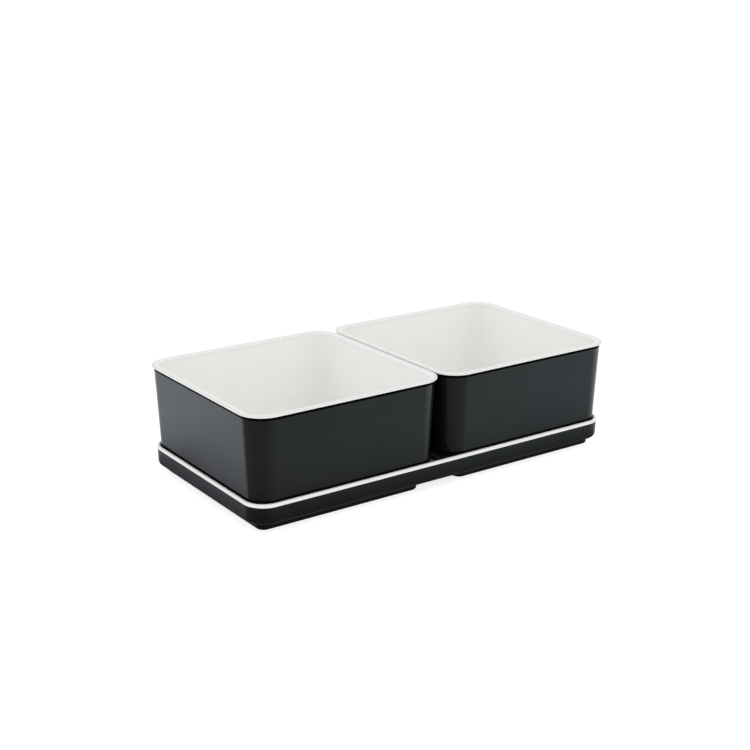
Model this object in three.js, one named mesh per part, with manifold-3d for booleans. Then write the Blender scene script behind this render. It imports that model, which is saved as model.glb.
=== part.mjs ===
// Chip and dip server: two square bowls side by side on a low rectangular tray.
// Each of the three loose items is a black outer moulding with a white inner moulding bonded into it.
// Millimetres, +Z up. The origin is on the table, under the middle of the tray, and the bowls stand
// side by side along X.

import * as THREE from 'three';
import { LoftGeometry } from 'three/addons/geometries/LoftGeometry.js';
import { mergeVertices } from 'three/addons/utils/BufferGeometryUtils.js';
import Module from 'manifold-3d';

const wasm = await Module();
wasm.setup();

// ---- Driving dimensions: the bowls ----
const BOWL_SIDE = 150; // outside of the square black wall, carried up to the top of the rim
const BOWL_GAP = 4.2; // between the two black walls, at the same height
const RIM_OVERHANG = 1.5; // how far the white rim stands out over the black wall
const RIM_HEIGHT = 80.4; // top of a rim above the table
const WALL_CORNER = 16.5; // plan radius of the wall's corner, at the same height
const WALL_DRAFT = 0.046; // how far a bowl's wall leans in for each mm downwards
const RIM_DEPTH = 0.85; // height of the rim's outer face, above the black wall
const RIM_OUTER_ROUND = 0.6;
const RIM_INNER_ROUND = 1.8;
const HEEL_RADIUS = 7.8; // rounded edge between a bowl's wall and its underside
const FLOOR_FILLET = 16; // inside a bowl, between the wall and the floor
const HOLLOW_SIDE = 112; // shallow hollow in a bowl's underside, which leaves a ring to stand on
const HOLLOW_CORNER = 10;
const HOLLOW_DEPTH = 0.9;

// ---- Driving dimensions: the tray ----
const LIP_CLEARANCE = 0.45; // between the tray's lip and a bowl's wall
const LIP_WIDTH = 2.15;
const LIP_ROUND = 0.7;
const LIP_TOP = 20.9; // height of the tray's white lip
const SPLIT_HEIGHT = 18.4; // where the black side ends and the white lip starts
const TRAY_CORNER = 15.6; // plan radius of a corner at the lip
const TRAY_UNDERSIDE = 6.1;
const TRAY_DRAFT = 0.035;
const TRAY_EDGE = 3; // rounded lower edge of the side
const PAD_MARGIN = 7.3; // from the tray's outline to a pad
const PAD_BRIDGE = 32.4; // between the two pads
const PAD_CORNER = 6.5;
const PAD_EDGE = 1.8; // rounded lower edge of a pad
const PAD_DRAFT = 0.055;
const PAD_RIM = 5.5; // the frame round a pad's recessed underside
const PAD_RECESS = 3.6;

// ---- Driving dimensions: the two bonded layers ----
const LAYER_GAP = 0.3; // modelling clearance between neighbouring solids
const SHELL_WALL = 2.7; // black layer of a bowl's wall, and of every floor
const LINER_WALL = 1.2; // white layer of a bowl's wall
const LINER_FLOOR = 1.4; // white layer of every floor
const TRAY_SHELL_TOP = 1.05; // black side wall at the split
const TRAY_SHELL_FOOT = 2.2; // black side wall near the floor
const SHELL_FILLET = 3; // inside the black tray, between the side and the floor

// ---- Finish ----
const ARC_STEPS = 4; // facets of a rounded edge
const FILLET_STEPS = 6; // facets of the large fillets
const LEAST_CORNER = 5; // the tightest plan radius inside any moulding
const CORNER_STEPS = 8; // facets of a plan corner
const OVERRUN = 2; // how far a cutter stands out of what it cuts
const WELD = 1; // how far a pad runs up into the floor above it
const MERGE_DISTANCE = 1e-5; // vertices closer than this are one
const BLACK = 0x17191a;
const WHITE = 0xe7e7e2;

// ---- Heights and sizes that follow from them ----
const BOWL_PITCH = BOWL_SIDE + BOWL_GAP;
const TRAY_FLOOR = TRAY_UNDERSIDE + SHELL_WALL + LAYER_GAP + LINER_FLOOR;
const BOWL_UNDERSIDE = TRAY_FLOOR + LAYER_GAP;
const SHELL_FLOOR = BOWL_UNDERSIDE + SHELL_WALL;
const LINER_UNDERSIDE = SHELL_FLOOR + LAYER_GAP;
const BOWL_FLOOR = LINER_UNDERSIDE + LINER_FLOOR;
const RIM_UNDERSIDE = RIM_HEIGHT - RIM_DEPTH;
const SHELL_TOP = RIM_UNDERSIDE - LAYER_GAP;
const TRAY_OFFSET = LIP_WIDTH + LIP_CLEARANCE - leanAt(LIP_TOP);
const TRAY_LENGTH = BOWL_PITCH + BOWL_SIDE + 2 * TRAY_OFFSET;
const TRAY_WIDTH = BOWL_SIDE + 2 * TRAY_OFFSET;

const bowlOutline = { length: BOWL_SIDE, width: BOWL_SIDE, corner: WALL_CORNER };
const hollowOutline = { length: HOLLOW_SIDE, width: HOLLOW_SIDE, corner: HOLLOW_CORNER };
const trayOutline = { length: TRAY_LENGTH, width: TRAY_WIDTH, corner: TRAY_CORNER };
const padOutline = {
  length: (TRAY_LENGTH - PAD_BRIDGE) / 2 - PAD_MARGIN,
  width: TRAY_WIDTH - 2 * PAD_MARGIN,
  corner: PAD_CORNER,
};
const PAD_PITCH = PAD_BRIDGE + padOutline.length;

/** How far a bowl's outer wall lies inside its rim at height z. */
function leanAt(z) {
  return (RIM_HEIGHT - z) * WALL_DRAFT;
}

/** The points of a rounded rectangle, counter-clockwise, moved in by inset and raised to z. */
function ring({ length, width, corner }, { inset, z }) {
  const radius = Math.max(corner - inset, LEAST_CORNER);
  const reachX = length / 2 - inset - radius;
  const reachY = width / 2 - inset - radius;
  const path = new THREE.Path();
  path.absarc(reachX, reachY, radius, 0, Math.PI / 2);
  path.absarc(-reachX, reachY, radius, Math.PI / 2, Math.PI);
  path.absarc(-reachX, -reachY, radius, Math.PI, 1.5 * Math.PI);
  path.absarc(reachX, -reachY, radius, 1.5 * Math.PI, 2 * Math.PI);
  const corners = path.curves.filter((curve) => curve.isEllipseCurve);
  return corners.flatMap((curve) => curve.getPoints(CORNER_STEPS))
    .map((point) => new THREE.Vector3(point.x, point.y, z));
}

/**
 * Stations along an arc in the plane of inset and height, from startAngle to endAngle.
 * An angle of 0 points into the body and a quarter turn points up.
 */
function arc(centre, radius, startAngle, endAngle, steps = ARC_STEPS) {
  const stations = [];
  for (let i = 0; i <= steps; i += 1) {
    const angle = startAngle + (endAngle - startAngle) * (i / steps);
    stations.push({
      inset: centre.inset + radius * Math.cos(angle),
      z: centre.z + radius * Math.sin(angle),
    });
  }
  return stations;
}

/** A rounded lower edge: from the flat underside at height z, out and up to a side at inset. */
function lowerEdge(inset, z, radius, steps) {
  return arc({ inset: inset + radius, z: z + radius }, radius, -Math.PI / 2, -Math.PI, steps);
}

/** A rounded upper edge on the outside: from a side at inset, up and in to a flat top at height z. */
function upperEdge(inset, z, radius) {
  return arc({ inset: inset + radius, z: z - radius }, radius, Math.PI, Math.PI / 2);
}

/** A cutter's flare that rounds the inside edge of a top face at height z. */
function mouthEdge(inset, z, radius) {
  return arc({ inset: inset - radius, z: z - radius }, radius, 0, Math.PI / 2);
}

/** A geometry as a solid that can be joined and cut. */
function solidOf(geometry) {
  const bare = new THREE.BufferGeometry().copy(geometry);
  bare.deleteAttribute('normal');
  bare.deleteAttribute('uv');
  const merged = mergeVertices(bare, MERGE_DISTANCE);
  return new wasm.Manifold(new wasm.Mesh({
    numProp: 3,
    vertProperties: merged.attributes.position.array,
    triVerts: Uint32Array.from(merged.index.array),
  }));
}

/** A block whose level sections are one rounded rectangle, moved in or out from station to station. */
function block(outline, stations, shiftX = 0) {
  const sections = stations.map((station) => ring(outline, station));
  const geometry = new LoftGeometry(sections, { capStart: true, capEnd: true });
  geometry.translate(shiftX, 0, 0);
  return solidOf(geometry);
}

/** A named mesh made from a finished solid. */
function meshOf(name, solid, material) {
  const { vertProperties, triVerts } = solid.getMesh();
  const geometry = new THREE.BufferGeometry();
  geometry.setAttribute('position', new THREE.BufferAttribute(vertProperties, 3));
  geometry.setIndex(new THREE.BufferAttribute(triVerts, 1));
  geometry.computeVertexNormals();
  const mesh = new THREE.Mesh(geometry, material);
  mesh.name = name;
  return mesh;
}

function blackPlastic() {
  return new THREE.MeshStandardMaterial({ color: BLACK, roughness: 0.16, metalness: 0 });
}

function whitePlastic() {
  return new THREE.MeshStandardMaterial({ color: WHITE, roughness: 0.22, metalness: 0 });
}

// ---- Bowl: black outer moulding ----

/** The black wall and underside, open at the top. */
function bowlShell() {
  const heelTop = BOWL_UNDERSIDE + HEEL_RADIUS;
  const body = block(bowlOutline, [
    ...lowerEdge(leanAt(heelTop), BOWL_UNDERSIDE, HEEL_RADIUS, FILLET_STEPS),
    { inset: leanAt(SHELL_TOP), z: SHELL_TOP },
  ]);
  const innerHeel = HEEL_RADIUS - SHELL_WALL;
  const cavity = block(bowlOutline, [
    ...lowerEdge(leanAt(heelTop) + SHELL_WALL, SHELL_FLOOR, innerHeel, FILLET_STEPS),
    { inset: leanAt(SHELL_TOP + OVERRUN) + SHELL_WALL, z: SHELL_TOP + OVERRUN },
  ]);
  const hollow = block(hollowOutline, [
    { inset: 0, z: BOWL_UNDERSIDE - OVERRUN },
    { inset: 0, z: BOWL_UNDERSIDE },
    { inset: HOLLOW_DEPTH, z: BOWL_UNDERSIDE + HOLLOW_DEPTH },
  ]);
  return body.subtract(cavity).subtract(hollow);
}

// ---- Bowl: white inner moulding ----

/** The white inside of a bowl, with the rim that covers the black wall's edge. */
function bowlLiner() {
  const seat = SHELL_WALL + LAYER_GAP;
  const heelTop = BOWL_UNDERSIDE + HEEL_RADIUS;
  const body = block(bowlOutline, [
    ...lowerEdge(leanAt(heelTop) + seat, LINER_UNDERSIDE, HEEL_RADIUS - seat, FILLET_STEPS),
    { inset: leanAt(RIM_UNDERSIDE) + seat, z: RIM_UNDERSIDE },
    { inset: -RIM_OVERHANG, z: RIM_UNDERSIDE },
    ...upperEdge(-RIM_OVERHANG, RIM_HEIGHT, RIM_OUTER_ROUND),
  ]);
  const wall = seat + LINER_WALL;
  const filletTop = BOWL_FLOOR + FLOOR_FILLET;
  const wallAtFillet = leanAt(filletTop) + wall;
  const hollow = block(bowlOutline, [
    ...lowerEdge(wallAtFillet, BOWL_FLOOR, FLOOR_FILLET, FILLET_STEPS),
    ...mouthEdge(wall, RIM_HEIGHT, RIM_INNER_ROUND),
    { inset: wall - RIM_INNER_ROUND, z: RIM_HEIGHT + OVERRUN },
  ]);
  return body.subtract(hollow);
}

// ---- Tray: black outer moulding ----

/** One block on each pad's outline: the pads themselves, or the recesses in their undersides. */
function bothPads(stations) {
  const pads = [-1, 1].map((side) => block(padOutline, stations, side * PAD_PITCH / 2));
  return pads[0].add(pads[1]);
}

/** The black side, underside and the two pads that the tray stands on. */
function trayShell() {
  const lean = (SPLIT_HEIGHT - TRAY_UNDERSIDE - TRAY_EDGE) * TRAY_DRAFT;
  const body = block(trayOutline, [
    ...lowerEdge(lean, TRAY_UNDERSIDE, TRAY_EDGE),
    { inset: 0, z: SPLIT_HEIGHT },
  ]);
  const padLean = (TRAY_UNDERSIDE - PAD_EDGE) * PAD_DRAFT;
  const pads = bothPads([
    ...lowerEdge(padLean, 0, PAD_EDGE),
    { inset: 0, z: TRAY_UNDERSIDE },
    { inset: 0, z: TRAY_UNDERSIDE + WELD },
  ]);
  const recesses = bothPads([
    { inset: padLean + PAD_RIM, z: -OVERRUN },
    { inset: padLean + PAD_RIM, z: 0 },
    { inset: padLean + PAD_RIM + PAD_RECESS * PAD_DRAFT, z: PAD_RECESS },
  ]);
  const cavity = block(trayOutline, [
    ...lowerEdge(TRAY_SHELL_FOOT, TRAY_UNDERSIDE + SHELL_WALL, SHELL_FILLET),
    { inset: TRAY_SHELL_TOP, z: SPLIT_HEIGHT },
    { inset: TRAY_SHELL_TOP, z: SPLIT_HEIGHT + OVERRUN },
  ]);
  return body.add(pads).subtract(cavity).subtract(recesses);
}

// ---- Tray: white inner moulding ----

/** The white floor and lip. */
function trayLiner() {
  const seat = TRAY_UNDERSIDE + SHELL_WALL + LAYER_GAP;
  const lipUnderside = SPLIT_HEIGHT + LAYER_GAP;
  const body = block(trayOutline, [
    ...lowerEdge(TRAY_SHELL_FOOT + LAYER_GAP, seat, SHELL_FILLET),
    { inset: TRAY_SHELL_TOP + LAYER_GAP, z: SPLIT_HEIGHT },
    { inset: TRAY_SHELL_TOP + LAYER_GAP, z: lipUnderside },
    { inset: 0, z: lipUnderside },
    ...upperEdge(0, LIP_TOP, LIP_ROUND),
  ]);
  const sideFillet = SPLIT_HEIGHT - TRAY_FLOOR;
  const hollow = block(trayOutline, [
    ...lowerEdge(LIP_WIDTH, TRAY_FLOOR, sideFillet, FILLET_STEPS),
    ...mouthEdge(LIP_WIDTH, LIP_TOP, LIP_ROUND),
    { inset: LIP_WIDTH - LIP_ROUND, z: LIP_TOP + OVERRUN },
  ]);
  return body.subtract(hollow);
}

// ---- Assembly ----

/** One bowl in its own group, with the bowl's middle on the group's origin. */
function bowl(side) {
  const group = new THREE.Group();
  group.add(meshOf(`${side}_bowl_shell`, bowlShell(), blackPlastic()));
  group.add(meshOf(`${side}_bowl_liner`, bowlLiner(), whitePlastic()));
  return group;
}

const tray = new THREE.Group();
tray.add(meshOf('tray_shell', trayShell(), blackPlastic()));
tray.add(meshOf('tray_liner', trayLiner(), whitePlastic()));

const leftBowl = bowl('left');
leftBowl.position.x = -BOWL_PITCH / 2;
const rightBowl = bowl('right');
rightBowl.position.x = BOWL_PITCH / 2;

const server = new THREE.Group();
server.add(tray, leftBowl, rightBowl);

export default server;
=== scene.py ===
# Chip and dip server: two square bowls side by side on a low tray, black outside and white inside.
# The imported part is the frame. Each of its six solids is replaced by a finer moulding on the same section.
import math
from collections import namedtuple

import bmesh
import bpy
from mathutils import Matrix, Vector
from mathutils.geometry import delaunay_2d_cdt

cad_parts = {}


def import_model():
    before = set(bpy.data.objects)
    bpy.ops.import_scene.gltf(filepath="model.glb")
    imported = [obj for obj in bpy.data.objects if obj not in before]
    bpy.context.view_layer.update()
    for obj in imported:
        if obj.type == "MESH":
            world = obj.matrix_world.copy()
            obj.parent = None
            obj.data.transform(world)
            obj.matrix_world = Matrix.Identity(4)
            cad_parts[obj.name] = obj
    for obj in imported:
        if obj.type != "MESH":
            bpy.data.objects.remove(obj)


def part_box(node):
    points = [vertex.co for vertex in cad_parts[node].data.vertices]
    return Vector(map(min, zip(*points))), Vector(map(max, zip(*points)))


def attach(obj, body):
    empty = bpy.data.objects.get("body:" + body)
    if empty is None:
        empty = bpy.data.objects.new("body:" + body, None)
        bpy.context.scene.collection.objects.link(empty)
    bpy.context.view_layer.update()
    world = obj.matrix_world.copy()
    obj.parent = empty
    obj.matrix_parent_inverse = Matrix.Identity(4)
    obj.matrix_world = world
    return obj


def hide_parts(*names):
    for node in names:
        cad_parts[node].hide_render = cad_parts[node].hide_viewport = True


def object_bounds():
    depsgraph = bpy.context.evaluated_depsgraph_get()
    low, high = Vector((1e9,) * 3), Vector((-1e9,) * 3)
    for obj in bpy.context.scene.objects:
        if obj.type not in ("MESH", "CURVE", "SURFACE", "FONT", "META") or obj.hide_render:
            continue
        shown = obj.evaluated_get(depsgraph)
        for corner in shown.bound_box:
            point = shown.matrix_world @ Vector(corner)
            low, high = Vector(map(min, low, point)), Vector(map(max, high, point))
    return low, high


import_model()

CAD_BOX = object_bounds()
MM = 0.001

# ---- Driving dimensions in millimetres, with heights above the table ----
WALL_DRAFT = 0.046  # how far a bowl's wall leans in for each mm downwards
SHELL_WALL = 2.7
LINER_WALL = 1.2
LINER_FLOOR = 1.4
LAYER_GAP = 0.3
HEEL_RADIUS = 7.8
FLOOR_FILLET = 16
WALL_CORNER = 16.5
RIM_OVERHANG = 1.5  # how far the white rim stands out over the black wall
WHITE_EDGE = 0.85  # the white rim's outer face
RIM_OUTER_ROUND = 0.3
RIM_INNER_ROUND = 1.9
GROOVE_HEIGHT = 2.0  # groove between the white rim and the black wall, in real shade and also painted dark and matte as shade
GROOVE_DEPTH = 0.5
SEAM_FADE = 0.3  # over which a painted shade strip turns glossy again
RIM_FADE = 1.5  # the same, below the rim's inner round
SHADE_LINE_HEIGHT = 1.2  # of a bowl's wall above the lip, painted dark and matte as the shade line there
STRIP_FADE = 0.8
HOLLOW_SIDE = 112
HOLLOW_DEPTH = 0.9
TRAY_CORNER = 15.6
TRAY_UNDERSIDE = 6.1
TRAY_DRAFT = 0.035
TRAY_EDGE = 3
SPLIT_HEIGHT = 18.4
LIP_SEAM = 0.08  # hairline between the black side and the white lip
LIP_WIDTH = 2.15
LIP_ROUND = 0.75
TRAY_SHELL_TOP = 1.05
TRAY_SHELL_FOOT = 2.2
SHELL_FILLET = 3
PAD_MARGIN = 7.3
PAD_BRIDGE = 32.4
PAD_CORNER = 6.5
PAD_EDGE = 1.8
PAD_DRAFT = 0.055
PAD_RIM = 5.5
PAD_RECESS = 3.6
PAD_ROOT = 0.7  # fillet where a pad's side meets the tray's underside
SMALL_EDGE = 0.25  # broken edge along a seam
SOFT_EDGE = 0.6  # rounded edge of a recess

# ---- How dark and dull a strip is (painted shade, satin on a heel) and how worn an edge is, from 0 to 1 ----
# the groove under the rims, the rims' undersides and outer rounds, and the roots of the pads: painted shade
PAINTED_SHADE = 1.0
LIP_LINE_SHADE = 0.9  # painted shade line of a bowl's wall, just above the tray's lip
MOUTH_SHADE = 0.4  # inner rounds of the rims, painted a darker, duller white as shade
HEEL_DULLNESS = 0.4  # the heel of a bowl is satin
TOP_WEAR = 1.0  # outer rounds of the rims and the lip
MOUTH_WEAR = 0.6  # inner rounds of the rims and the lip
UNDER_WEAR = 0.4  # lower edges of the rims and the lip
LOWER_WEAR = 0.3  # lower edges of the bowls and the tray
SEAM_WEAR = 0.6  # top edge of the tray's black side
PAD_WEAR = 0.7

# ---- Finish of the meshes ----
CORNER_STEPS = 22
ARC_STEPS = 8
FILLET_STEPS = 16
LEAST_CORNER = 5  # plan corner of the innermost rings
SHARP_ANGLE = math.radians(55)
STRONG_FACES = 100  # the weighted normals follow the large faces
INSIDE_EDGES = 1  # the triangulation keeps to what the edges enclose
MERGE_DISTANCE = 1e-7

# ---- The camera, at the photograph's viewing angle ----
CAMERA_PLACE = (-0.5439, -0.7611, 0.3593)
CAMERA_YAW = math.radians(35.185)
CAMERA_PITCH = math.radians(17.603)
CAMERA_ROLL = math.radians(0.096)
CAMERA_LENS = 64.86
CAMERA_REACH = 100
SENSOR_WIDTH = 36

Outline = namedtuple("Outline", "x length width corner")
Station = namedtuple("Station", "inset z edge seam", defaults=(0.0, 0.0))


def frame_outline(node, corner):
    """The plan of a CAD node, in millimetres."""
    low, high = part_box(node)
    size = (high - low) / MM
    return Outline((high.x + low.x) / 2 / MM, size.x, size.y, corner)


def frame_top(node):
    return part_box(node)[1].z / MM


def bowl_outline(side):
    """The plan of a bowl's black wall, carried up to the top of the rim."""
    rim = frame_outline(f"{side}_bowl_liner", WALL_CORNER)
    return rim._replace(length=rim.length - 2 * RIM_OVERHANG, width=rim.width - 2 * RIM_OVERHANG)


RIM_HEIGHT = frame_top("left_bowl_liner")
LIP_TOP = frame_top("tray_liner")
TRAY = frame_outline("tray_liner", TRAY_CORNER)
TRAY_FLOOR = TRAY_UNDERSIDE + SHELL_WALL + LAYER_GAP + LINER_FLOOR
BOWL_UNDERSIDE = TRAY_FLOOR + LAYER_GAP
SHELL_FLOOR = BOWL_UNDERSIDE + SHELL_WALL
LINER_UNDERSIDE = SHELL_FLOOR + LAYER_GAP
BOWL_FLOOR = LINER_UNDERSIDE + LINER_FLOOR
HEEL_TOP = BOWL_UNDERSIDE + HEEL_RADIUS
RIM_UNDERSIDE = RIM_HEIGHT - WHITE_EDGE
SHELL_TOP = RIM_UNDERSIDE - LAYER_GAP / 2
PAD_SKIRT = PAD_ROOT + SEAM_FADE


def lean_at(z):
    """How far a bowl's outer wall lies inside its rim at height z."""
    return (RIM_HEIGHT - z) * WALL_DRAFT


def arc(inset, z, radius, start, end, steps=ARC_STEPS, edge=0.0, seam=0.0):
    """Stations round a centre. An angle of 0 points into the body and 90 points up."""
    stations = []
    for i in range(steps + 1):
        share = i / steps
        angle = math.radians(start + (end - start) * share)
        worn = edge * math.sin(math.pi * share)
        across = inset + radius * math.cos(angle)
        stations.append(Station(across, z + radius * math.sin(angle), worn, seam))
    return stations


def lower_edge(inset, z, radius, steps=ARC_STEPS, edge=0.0, seam=0.0):
    """From a flat underside at height z, out and up to a side at inset."""
    return arc(inset + radius, z + radius, radius, -90, -180, steps, edge, seam)


def upper_edge(inset, z, radius, edge=0.0, seam=0.0):
    """From a side at inset, up and in to a flat top at height z."""
    return arc(inset + radius, z - radius, radius, 180, 90, ARC_STEPS, edge, seam)


def mouth_edge(inset, z, radius, edge=0.0, seam=0.0):
    """From a flat top at height z, in and down to an inside wall at inset."""
    return arc(inset - radius, z - radius, radius, 90, 0, ARC_STEPS, edge, seam)


def floor_edge(inset, z, radius, steps=ARC_STEPS):
    """From an inside wall at inset, down and in to a floor at height z."""
    return arc(inset + radius, z + radius, radius, -180, -90, steps)


def recess_edge(inset, z, radius):
    """From a recess in an underside, down and out to the flat at height z."""
    return arc(inset, z + radius, radius, 0, -90)


def add_object(name, mesh):
    piece = bpy.data.objects.new(name, mesh)
    bpy.context.scene.collection.objects.link(piece)
    return piece


class Moulding:
    """A closed mesh made of rings: rounded rectangles joined by strips of faces."""

    def __init__(self):
        self.bm = bmesh.new()
        self.edge = self.bm.verts.layers.float.new("edge")
        self.seam = self.bm.verts.layers.float.new("seam")

    def ring(self, outline, station):
        radius = max(outline.corner - station.inset, LEAST_CORNER)
        reach_x = outline.length / 2 - station.inset - radius
        reach_y = outline.width / 2 - station.inset - radius
        verts = []
        for quarter, (side_x, side_y) in enumerate(((1, 1), (-1, 1), (-1, -1), (1, -1))):
            for i in range(CORNER_STEPS + 1):
                angle = math.radians(90) * (quarter + i / CORNER_STEPS)
                x = outline.x + side_x * reach_x + radius * math.cos(angle)
                y = side_y * reach_y + radius * math.sin(angle)
                vert = self.bm.verts.new(Vector((x, y, station.z)) * MM)
                vert[self.edge] = station.edge
                vert[self.seam] = station.seam
                verts.append(vert)
        return verts

    def strip(self, first, second):
        count = len(first)
        for i in range(count):
            j = (i + 1) % count
            self.bm.faces.new((first[i], first[j], second[j], second[i]))

    def loft(self, outline, stations):
        """Rings joined in turn. It gives back the first and the last one."""
        rings = [self.ring(outline, station) for station in stations]
        for first, second in zip(rings, rings[1:]):
            self.strip(first, second)
        return rings[0], rings[-1]

    def cap(self, ring, up):
        self.bm.faces.new(ring if up else ring[::-1])

    def body(self, outline, stations):
        """A closed body whose section runs from the middle of its underside to the middle of its floor."""
        first, last = self.loft(outline, stations)
        self.cap(first, up=False)
        self.cap(last, up=True)

    def underside(self, outer, holes, inside_hole):
        """A flat face looking down between an outer ring and the rings of some holes."""
        loops = [outer, *holes]
        verts = [vert for loop in loops for vert in loop]
        edges = []
        start = 0
        for loop in loops:
            count = len(loop)
            edges += [(start + i, start + (i + 1) % count) for i in range(count)]
            start += count
        flat = [vert.co.xy for vert in verts]
        _, _, faces, origins, _, _ = delaunay_2d_cdt(flat, edges, [], INSIDE_EDGES, MERGE_DISTANCE)
        for face in faces:
            corners = [verts[origins[i][0]] for i in face]
            middle = sum((vert.co for vert in corners), Vector()) / len(corners)
            if not inside_hole(middle / MM):
                self.bm.faces.new(corners[::-1])

    def finish(self, name, material):
        """The object, shaded smooth between its sharp edges."""
        self.bm.normal_update()
        for edge in self.bm.edges:
            if edge.is_manifold and edge.calc_face_angle() > SHARP_ANGLE:
                edge.smooth = False
        mesh = bpy.data.meshes.new(name)
        self.bm.to_mesh(mesh)
        self.bm.free()
        piece = add_object(name, mesh)
        for polygon in mesh.polygons:
            polygon.use_smooth = True
        mesh.materials.append(material)
        normals = piece.modifiers.new("weighted_normals", "WEIGHTED_NORMAL")
        normals.mode = "FACE_AREA"
        normals.weight = STRONG_FACES
        normals.keep_sharp = True
        return piece


# ---- Materials ----

# Two colours that mix in clouds, the colour of worn edges, the roughness, how strong the hairline marks and
# the gloss are, and for dull strips their darker colour (painted shade, satin on a heel) and added
# roughness.
Plastic = namedtuple("Plastic", "colour deep worn roughness marks gloss dull dullness", defaults=(None, 0.0))
BLACK = Plastic((0.0040, 0.0043, 0.0044, 1), (0.0052, 0.0055, 0.0056, 1), (0.02, 0.02, 0.02, 1),
                0.13, 0.5, 0.5, (0.0025, 0.0025, 0.0025, 1), 0.45)
BOWL_WHITE = Plastic((0.955, 0.953, 0.928, 1), (0.945, 0.944, 0.917, 1), (0.92, 0.92, 0.905, 1),
                     0.2, 0.35, 0.3, (0.78, 0.78, 0.765, 1), 0.3)
# the bowls' white plastic, painted darker on the tray as shade
TRAY_WHITE_SHADED = Plastic((0.805, 0.81, 0.80, 1), (0.79, 0.795, 0.785, 1), (0.83, 0.83, 0.82, 1), 0.16, 0.35, 0.5)
PLASTIC_IOR = 1.5
CLOUD_SCALE = 38.0  # slow changes of colour
CLOUD_DETAIL = 4.0
CLOUD_SPAN = (0.35, 0.65)
HAZE_SCALE = 120.0  # changes of gloss
HAZE_DETAIL = 3.0
HAZE_SPAN = (0.3, 0.7)
HAZE_RANGE = (0.85, 1.2)  # times the roughness of the plastic
RUB_SCALE = 300.0  # how the wear along an edge breaks up
RUB_DETAIL = 4.0
RUB_SPAN = (0.45, 0.75)
WORN_ROUGHNESS = 0.12
WAVE_SCALE = 13.0  # slow waves of a moulded wall
WAVE_DETAIL = 1.0
WAVE_STRENGTH = 0.25
WAVE_DEPTH = 0.0006
PEEL_SCALE = 520.0  # orange peel
PEEL_DETAIL = 2.0
PEEL_STRENGTH = 0.12
PEEL_DEPTH = 0.00003
SCRATCH_SCALE = (9, 1500, 1500)
SCRATCH_DETAIL = 1.0
SCRATCH_FADE = 0.05
SCRATCHES = (((0.5, 0.3, 0.9), 0.69), ((-0.7, 0.6, -0.4), 0.70))  # turn, and the noise where a mark starts


class Graph:
    """A short way to write a node tree."""

    def __init__(self, tree):
        self.tree = tree
        tree.nodes.clear()

    def add(self, kind, settings=None, **inputs):
        node = self.tree.nodes.new(kind)
        for key, value in (settings or {}).items():
            setattr(node, key, value)
        for key, value in inputs.items():
            self.feed(node.inputs[key.replace("_", " ")], value)
        return node

    def feed(self, socket, value):
        if isinstance(value, bpy.types.NodeSocket):
            self.tree.links.new(value, socket)
        else:
            socket.default_value = value

    def math(self, operation, a, b=0.0):
        node = self.add("ShaderNodeMath", {"operation": operation})
        self.feed(node.inputs[0], a)
        self.feed(node.inputs[1], b)
        return node.outputs[0]

    def noise(self, place, scale, detail):
        return self.add("ShaderNodeTexNoise", None, Vector=place, Scale=scale, Detail=detail).outputs["Fac"]

    def ramp(self, value, low, high, to_low=0.0, to_high=1.0, kind="SMOOTHSTEP"):
        node = self.add("ShaderNodeMapRange", {"interpolation_type": kind}, Value=value)
        for key, number in (("From Min", low), ("From Max", high), ("To Min", to_low), ("To Max", to_high)):
            node.inputs[key].default_value = number
        return node.outputs[0]

    def mix(self, factor, a, b):
        """Two colours mixed. The node's sockets share their names, so they go by number."""
        node = self.add("ShaderNodeMix", {"data_type": "RGBA"})
        for index, value in ((0, factor), (6, a), (7, b)):
            self.feed(node.inputs[index], value)
        return node.outputs[2]

    def attribute(self, name):
        return self.add("ShaderNodeAttribute", {"attribute_name": name}).outputs["Fac"]


def new_material(name):
    """A material and the graph that fills its empty node tree."""
    material = bpy.data.materials.new(name)
    material.use_nodes = True
    return material, Graph(material.node_tree)


def scratches(graph, place, turn, threshold):
    """Long thin marks in one direction."""
    stretched = graph.add("ShaderNodeMapping", None, Vector=place, Rotation=turn, Scale=SCRATCH_SCALE)
    noise = graph.noise(stretched.outputs[0], 1.0, SCRATCH_DETAIL)
    return graph.ramp(noise, threshold, threshold + SCRATCH_FADE)


def hairlines(graph, place, strength):
    marks = [scratches(graph, place, turn, threshold) for turn, threshold in SCRATCHES]
    return graph.math("MULTIPLY", graph.math("MAXIMUM", *marks), strength)


def rubbed_edges(graph, place):
    """Where the edges are worn by handling, broken up by a noise."""
    patches = graph.ramp(graph.noise(place, RUB_SCALE, RUB_DETAIL), *RUB_SPAN)
    return graph.math("MULTIPLY", graph.attribute("edge"), patches)


def relief(graph, place):
    """Slow waves under a fine orange peel."""
    wave = graph.add("ShaderNodeBump", None, Height=graph.noise(place, WAVE_SCALE, WAVE_DETAIL),
                     Strength=WAVE_STRENGTH, Distance=WAVE_DEPTH)
    peel = graph.add("ShaderNodeBump", None, Height=graph.noise(place, PEEL_SCALE, PEEL_DETAIL),
                     Normal=wave.outputs[0], Strength=PEEL_STRENGTH, Distance=PEEL_DEPTH)
    return peel.outputs[0]


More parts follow.
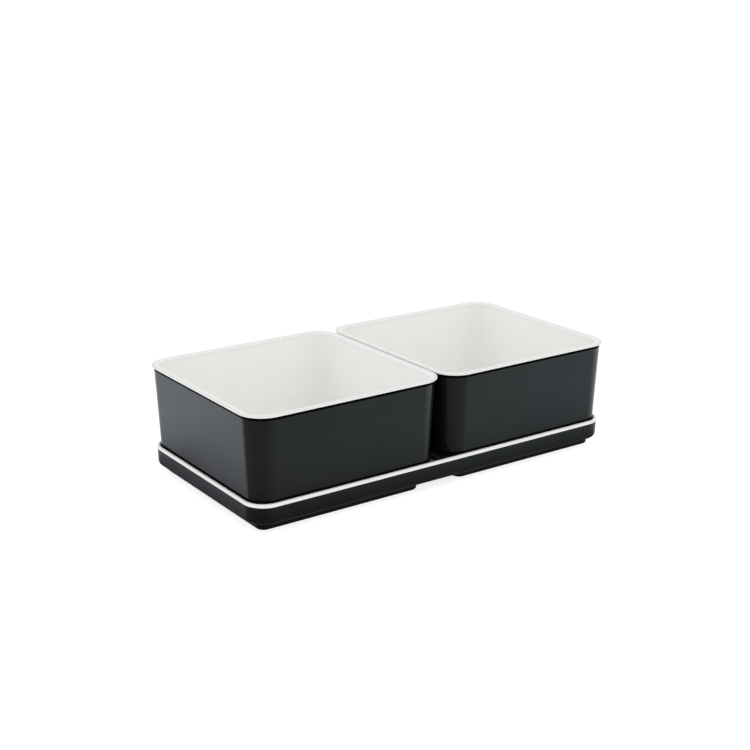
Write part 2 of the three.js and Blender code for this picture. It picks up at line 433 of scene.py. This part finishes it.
def gloss_plastic(name, kind):
    """Moulded plastic: a fine orange peel, slow waves, hairline marks and edges rubbed by handling."""
    material, graph = new_material(name)
    place = graph.add("ShaderNodeTexCoord").outputs["Object"]
    lines = hairlines(graph, place, kind.marks)
    rubbed = rubbed_edges(graph, place)
    cloud = graph.ramp(graph.noise(place, CLOUD_SCALE, CLOUD_DETAIL), *CLOUD_SPAN)
    base = graph.mix(cloud, kind.colour, kind.deep)
    base = graph.mix(graph.math("MAXIMUM", rubbed, lines), base, kind.worn)
    clear, hazy = (kind.roughness * factor for factor in HAZE_RANGE)
    haze = graph.ramp(graph.noise(place, HAZE_SCALE, HAZE_DETAIL), *HAZE_SPAN, clear, hazy)
    wear = graph.math("MULTIPLY", graph.math("ADD", rubbed, lines), WORN_ROUGHNESS)
    rough = graph.math("ADD", haze, wear)
    gloss = kind.gloss
    # Dull strips get a darker colour, more roughness and no gloss: painted shade, and a satin finish on a
    # bowl's heel.
    if kind.dull:
        seam = graph.attribute("seam")
        base = graph.mix(seam, base, kind.dull)
        rough = graph.math("ADD", rough, graph.math("MULTIPLY", seam, kind.dullness))
        gloss = graph.ramp(seam, 0.0, 1.0, kind.gloss, 0.0)
    shader = graph.add("ShaderNodeBsdfPrincipled", None, Base_Color=base, Roughness=rough, IOR=PLASTIC_IOR,
                       Specular_IOR_Level=gloss, Normal=relief(graph, place))
    graph.add("ShaderNodeOutputMaterial", None, Surface=shader.outputs[0])
    return material


# ---- The bowls ----


def bowl_shell(side):
    """The black wall with its rounded heel, a shallow hollow underneath, a groove under the rim painted dark
    as shade and a painted shade line above the tray's lip.
    """
    outline = bowl_outline(side)
    to_hollow = (outline.length - HOLLOW_SIDE) / 2
    hollow_roof = BOWL_UNDERSIDE + HOLLOW_DEPTH
    strip_top = LIP_TOP + SHADE_LINE_HEIGHT
    strip_end = strip_top + STRIP_FADE
    wall_top = RIM_UNDERSIDE - GROOVE_HEIGHT
    gloss_top = wall_top - SMALL_EDGE - SEAM_FADE
    neck = lean_at(wall_top) + GROOVE_DEPTH
    stations = [
        Station(to_hollow + 2 * HOLLOW_DEPTH, hollow_roof),
        Station(to_hollow + HOLLOW_DEPTH, hollow_roof),
        *recess_edge(to_hollow, BOWL_UNDERSIDE, HOLLOW_DEPTH / 2),
        *lower_edge(lean_at(HEEL_TOP), BOWL_UNDERSIDE, HEEL_RADIUS, FILLET_STEPS, LOWER_WEAR, HEEL_DULLNESS),
        # painted shade: a dark, matte line of the wall just above the tray's lip
        Station(lean_at(LIP_TOP), LIP_TOP, seam=LIP_LINE_SHADE),
        Station(lean_at(strip_top), strip_top, seam=LIP_LINE_SHADE),
        Station(lean_at(strip_end), strip_end),
        Station(lean_at(gloss_top), gloss_top),
        # the groove under the rim, in real shade and also painted dark and matte as shade
        *upper_edge(lean_at(wall_top), wall_top, SMALL_EDGE, seam=PAINTED_SHADE),
        Station(neck, wall_top, seam=PAINTED_SHADE),
        Station(neck, SHELL_TOP, seam=PAINTED_SHADE),
        Station(SHELL_WALL, SHELL_TOP),
        *floor_edge(lean_at(HEEL_TOP) + SHELL_WALL, SHELL_FLOOR, HEEL_RADIUS - SHELL_WALL),
    ]
    moulding = Moulding()
    moulding.body(outline, stations)
    return moulding.finish(f"{side}_bowl_outer", gloss_plastic(f"{side}_bowl_black", BLACK))


def bowl_liner(side):
    """The white inside with its overhanging rim, deep fillet and flat floor."""
    seat = SHELL_WALL + LAYER_GAP
    wall = seat + LINER_WALL
    fillet_top = BOWL_FLOOR + FLOOR_FILLET
    mouth = RIM_HEIGHT - RIM_INNER_ROUND - RIM_FADE
    stations = [
        *lower_edge(lean_at(HEEL_TOP) + seat, LINER_UNDERSIDE, HEEL_RADIUS - seat),
        Station(lean_at(RIM_UNDERSIDE) + seat, RIM_UNDERSIDE),
        # the rim's underside, outer face and top, painted a darker, duller white as shade, fading out below
        # the inner round
        *lower_edge(-RIM_OVERHANG, RIM_UNDERSIDE, SMALL_EDGE / 2, edge=UNDER_WEAR, seam=PAINTED_SHADE),
        *upper_edge(-RIM_OVERHANG, RIM_HEIGHT, RIM_OUTER_ROUND, edge=TOP_WEAR, seam=PAINTED_SHADE),
        *mouth_edge(wall, RIM_HEIGHT, RIM_INNER_ROUND, edge=MOUTH_WEAR, seam=MOUTH_SHADE),
        Station(lean_at(mouth) + wall, mouth),
        *floor_edge(lean_at(fillet_top) + wall, BOWL_FLOOR, FLOOR_FILLET, FILLET_STEPS),
    ]
    moulding = Moulding()
    moulding.body(bowl_outline(side), stations)
    return moulding.finish(f"{side}_bowl_inner", gloss_plastic(f"{side}_bowl_white", BOWL_WHITE))


# ---- The tray ----


def pad_outline(side):
    """The plan of the pad on the left (-1) or the right (1) where it meets the tray's underside."""
    length = (TRAY.length - PAD_BRIDGE) / 2 - PAD_MARGIN
    return Outline(side * (PAD_BRIDGE + length) / 2, length, TRAY.width - 2 * PAD_MARGIN, PAD_CORNER)


def pad(moulding, outline):
    """A pad with its recessed underside. It gives back the ring that meets the tray."""
    foot = (TRAY_UNDERSIDE - PAD_EDGE) * PAD_DRAFT
    recess = foot + PAD_RIM
    panel = recess + PAD_RECESS * PAD_DRAFT
    stations = [
        *reversed(arc(panel + SOFT_EDGE, PAD_RECESS - SOFT_EDGE, SOFT_EDGE, 180, 90)),
        *recess_edge(recess - SOFT_EDGE, 0, SOFT_EDGE),
        *lower_edge(foot, 0, PAD_EDGE, edge=PAD_WEAR),
        # the root of the pad, painted dark and matte as shade in the crease
        *arc(-PAD_ROOT, TRAY_UNDERSIDE - PAD_ROOT, PAD_ROOT, 0, 90, seam=PAINTED_SHADE),
        Station(-PAD_SKIRT, TRAY_UNDERSIDE),
    ]
    first, last = moulding.loft(outline, stations)
    moulding.cap(first, up=False)
    return last


def inside_pad(point):
    """Whether a point of the underside lies on a pad."""
    for side in (-1, 1):
        outline = pad_outline(side)
        reach_x = outline.length / 2 + PAD_SKIRT - LEAST_CORNER
        reach_y = outline.width / 2 + PAD_SKIRT - LEAST_CORNER
        over_x = max(abs(point.x - outline.x) - reach_x, 0)
        over_y = max(abs(point.y) - reach_y, 0)
        if math.hypot(over_x, over_y) < LEAST_CORNER:
            return True
    return False


def tray_shell():
    """The black side and underside on its two pads."""
    lean = (SPLIT_HEIGHT - TRAY_UNDERSIDE - TRAY_EDGE) * TRAY_DRAFT
    stations = [
        *lower_edge(lean, TRAY_UNDERSIDE, TRAY_EDGE, edge=LOWER_WEAR),
        *upper_edge(0, SPLIT_HEIGHT, SMALL_EDGE, edge=SEAM_WEAR),
        Station(TRAY_SHELL_TOP, SPLIT_HEIGHT),
        *floor_edge(TRAY_SHELL_FOOT, TRAY_UNDERSIDE + SHELL_WALL, SHELL_FILLET),
    ]
    moulding = Moulding()
    first, last = moulding.loft(TRAY, stations)
    moulding.cap(last, up=True)
    pads = [pad(moulding, pad_outline(side)) for side in (-1, 1)]
    moulding.underside(first, pads, inside_pad)
    return moulding.finish("tray_outer", gloss_plastic("tray_black", BLACK))


def tray_liner():
    """The white floor and lip."""
    lip_underside = SPLIT_HEIGHT + LIP_SEAM
    seat = TRAY_UNDERSIDE + SHELL_WALL + LAYER_GAP
    stations = [
        *lower_edge(TRAY_SHELL_FOOT + LAYER_GAP, seat, SHELL_FILLET),
        Station(TRAY_SHELL_TOP + LAYER_GAP, SPLIT_HEIGHT),
        Station(TRAY_SHELL_TOP + LAYER_GAP, lip_underside),
        *lower_edge(0, lip_underside, SMALL_EDGE, edge=UNDER_WEAR),
        *upper_edge(0, LIP_TOP, LIP_ROUND, edge=TOP_WEAR),
        *mouth_edge(LIP_WIDTH, LIP_TOP, LIP_ROUND, edge=MOUTH_WEAR),
        *floor_edge(LIP_WIDTH, TRAY_FLOOR, SPLIT_HEIGHT - TRAY_FLOOR, FILLET_STEPS),
    ]
    moulding = Moulding()
    moulding.body(TRAY, stations)
    return moulding.finish("tray_inner", gloss_plastic("tray_white_shaded", TRAY_WHITE_SHADED))


def place(piece, body, node, slot):
    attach(piece, body)
    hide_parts(node)


place(tray_shell(), "tray", "tray_shell", "black_outer")
place(tray_liner(), "tray", "tray_liner", "white_inner")
for side in ("left", "right"):
    place(bowl_shell(side), f"{side}_bowl", f"{side}_bowl_shell", "black_outer")
    place(bowl_liner(side), f"{side}_bowl", f"{side}_bowl_liner", "white_inner")


# ---- Studio, in metres ----

FLOOR_SIZE = 60.0
BACKDROP_RADIUS = 12.0
BACKDROP_SEGMENTS = 96
BACKDROP_GLOW = 1.2
HALO_SIZE = 2.0
HALO_HEIGHT = 0.0002
FLOOR_COLOUR = (0.5, 0.5, 0.5, 1)
FLOOR_ROUGHNESS = 0.9
FLOOR_GLOW = 0.8
DOME_LEFT = (0.99, (0.975, 0.985, 1.015))  # its brightness and tint
DOME_RIGHT = (0.96, (1.0, 1.0, 0.98))
HORIZON_FADE = 0.12  # above and below the horizon, as the height of a direction of length 1
NEUTRAL = (1.0, 1.0, 1.0)
GREENISH = (0.87, 1.0, 0.96)
SEA = (0.88, 1.0, 1.08)
BLUISH = (0.94, 1.0, 1.10)
# What the walls mirror from near the table, by the compass: degrees from +X towards +Y, brightness and tint.
SURROUND = ((-180, 0.28, NEUTRAL), (-110, 0.28, NEUTRAL), (-60, 0.46, GREENISH), (-52, 0.58, GREENISH),
            (-45, 0.72, SEA), (-20, 0.92, NEUTRAL), (60, 1.0, NEUTRAL), (100, 1.03, BLUISH),
            (128, 1.03, BLUISH), (143, 0.30, NEUTRAL), (180, 0.28, NEUTRAL))
# Painted shade seen only in reflections: how much of the surround is left over the table beside the object,
# by the distance in metres.
HALO = ((0.0, 0.15), (0.006, 0.22), (0.015, 0.34), (0.025, 0.55), (0.055, 0.84), (0.100, 1.0))


def shade(level, tint=NEUTRAL):
    """A colour from its brightness and tint."""
    return (level * tint[0], level * tint[1], level * tint[2], 1)


def plane(name, size, z):
    """A square facing up that belongs to the studio."""
    mesh = bpy.data.meshes.new(name)
    half = size / 2
    corners = [(-half, -half, z), (half, -half, z), (half, half, z), (-half, half, z)]
    mesh.from_pydata(corners, [], [(0, 1, 2, 3)])
    piece = add_object(name, mesh)
    return piece


def show_only_to(piece, *kinds):
    """Hides a piece from every kind of ray but these."""
    for kind in ("camera", "glossy", "diffuse", "transmission", "volume_scatter", "shadow"):
        setattr(piece, f"visible_{kind}", kind in kinds)


def floor():
    """A pale table top that also glows a little, like a light table."""
    piece = plane("floor", FLOOR_SIZE, 0)
    material, graph = new_material("floor_paper")
    shader = graph.add("ShaderNodeBsdfPrincipled", None, Base_Color=FLOOR_COLOUR, Roughness=FLOOR_ROUGHNESS,
                       Specular_IOR_Level=0.0, Emission_Color=shade(1.0), Emission_Strength=FLOOR_GLOW)
    graph.add("ShaderNodeOutputMaterial", None, Surface=shader.outputs[0])
    piece.data.materials.append(material)
    piece.visible_glossy = False


def backdrop():
    """A pale wall all round, far behind the object, that only the camera sees."""
    bm = bmesh.new()
    bmesh.ops.create_cone(bm, segments=BACKDROP_SEGMENTS, radius1=BACKDROP_RADIUS, radius2=BACKDROP_RADIUS,
                          depth=2 * BACKDROP_RADIUS, cap_ends=False)
    mesh = bpy.data.meshes.new("backdrop")
    bm.to_mesh(mesh)
    bm.free()
    piece = add_object("backdrop", mesh)
    material, graph = new_material("backdrop_paper")
    glow = graph.add("ShaderNodeEmission", None, Strength=BACKDROP_GLOW)
    graph.add("ShaderNodeOutputMaterial", None, Surface=glow.outputs[0])
    piece.data.materials.append(material)
    show_only_to(piece, "camera")


def curve_of(graph, value, points):
    """A colour read off a curve through some points."""
    low, high = points[0][0], points[-1][0]
    share = graph.ramp(value, low, high, kind="LINEAR")
    node = graph.add("ShaderNodeValToRGB", None, Fac=share)
    stops = node.color_ramp.elements
    while len(stops) < len(points):
        stops.new(0.5)  # any place will do, as the next loop sets it
    for stop, (at, *look) in zip(stops, points):
        stop.position = (at - low) / (high - low)
        stop.color = shade(*look)
    return node.outputs[0]


def distance_from_object(graph):
    """How far a point of the table lies outside the plan of the object's box."""
    spot = graph.add("ShaderNodeTexCoord").outputs["Object"]
    parts = graph.add("ShaderNodeSeparateXYZ", None, Vector=spot)
    low, high = CAD_BOX
    squares = []
    for axis in (0, 1):
        reach = (high[axis] - low[axis]) / 2
        over = graph.math("SUBTRACT", graph.math("ABSOLUTE", parts.outputs[axis]), reach)
        away = graph.math("MAXIMUM", over, 0.0)
        squares.append(graph.math("MULTIPLY", away, away))
    return graph.math("SQRT", graph.math("ADD", *squares))


def halo():
    """A sheet of painted shade, seen only in reflections: the glossy walls mirror the table close to the
    object darker.
    """
    piece = plane("halo", HALO_SIZE, HALO_HEIGHT)
    material, graph = new_material("halo_shade")
    shading = curve_of(graph, distance_from_object(graph), HALO)
    veil = graph.add("ShaderNodeBsdfTransparent", None, Color=shading)
    graph.add("ShaderNodeOutputMaterial", None, Surface=veil.outputs[0])
    piece.data.materials.append(material)
    show_only_to(piece, "glossy")


def world():
    """A white dome, and below the horizon a surround that is darker towards the camera."""
    scene_world = bpy.data.worlds.new("studio")
    bpy.context.scene.world = scene_world
    scene_world.use_nodes = True
    scene_world.cycles.sampling_method = "NONE"
    graph = Graph(scene_world.node_tree)
    way = graph.add("ShaderNodeTexCoord").outputs["Generated"]
    parts = graph.add("ShaderNodeSeparateXYZ", None, Vector=way)
    turn = graph.math("MULTIPLY", graph.math("ARCTAN2", parts.outputs[1], parts.outputs[0]), math.degrees(1))
    around = curve_of(graph, turn, SURROUND)
    to_right = graph.ramp(parts.outputs[0], -1.0, 1.0, kind="LINEAR")
    dome = graph.mix(to_right, shade(*DOME_LEFT), shade(*DOME_RIGHT))
    above = graph.ramp(parts.outputs[2], -HORIZON_FADE, HORIZON_FADE)
    colour = graph.mix(above, around, dome)
    background = graph.add("ShaderNodeBackground", None, Color=colour)
    graph.add("ShaderNodeOutputWorld", None, Surface=background.outputs[0])


def camera():
    """A camera that stands where the photograph was taken."""
    lens = bpy.data.cameras.new("camera")
    lens.lens = CAMERA_LENS
    lens.sensor_width = SENSOR_WIDTH
    lens.clip_end = CAMERA_REACH
    eye = add_object("camera", lens)
    turn = Matrix.Rotation(-CAMERA_YAW, 4, "Z")
    tilt = Matrix.Rotation(math.radians(90) - CAMERA_PITCH, 4, "X")
    roll = Matrix.Rotation(CAMERA_ROLL, 4, "Z")
    eye.matrix_world = Matrix.Translation(CAMERA_PLACE) @ turn @ tilt @ roll
    bpy.context.scene.camera = eye


floor()
backdrop()
halo()
world()
camera()
bpy.context.scene.view_settings.view_transform = "Standard"
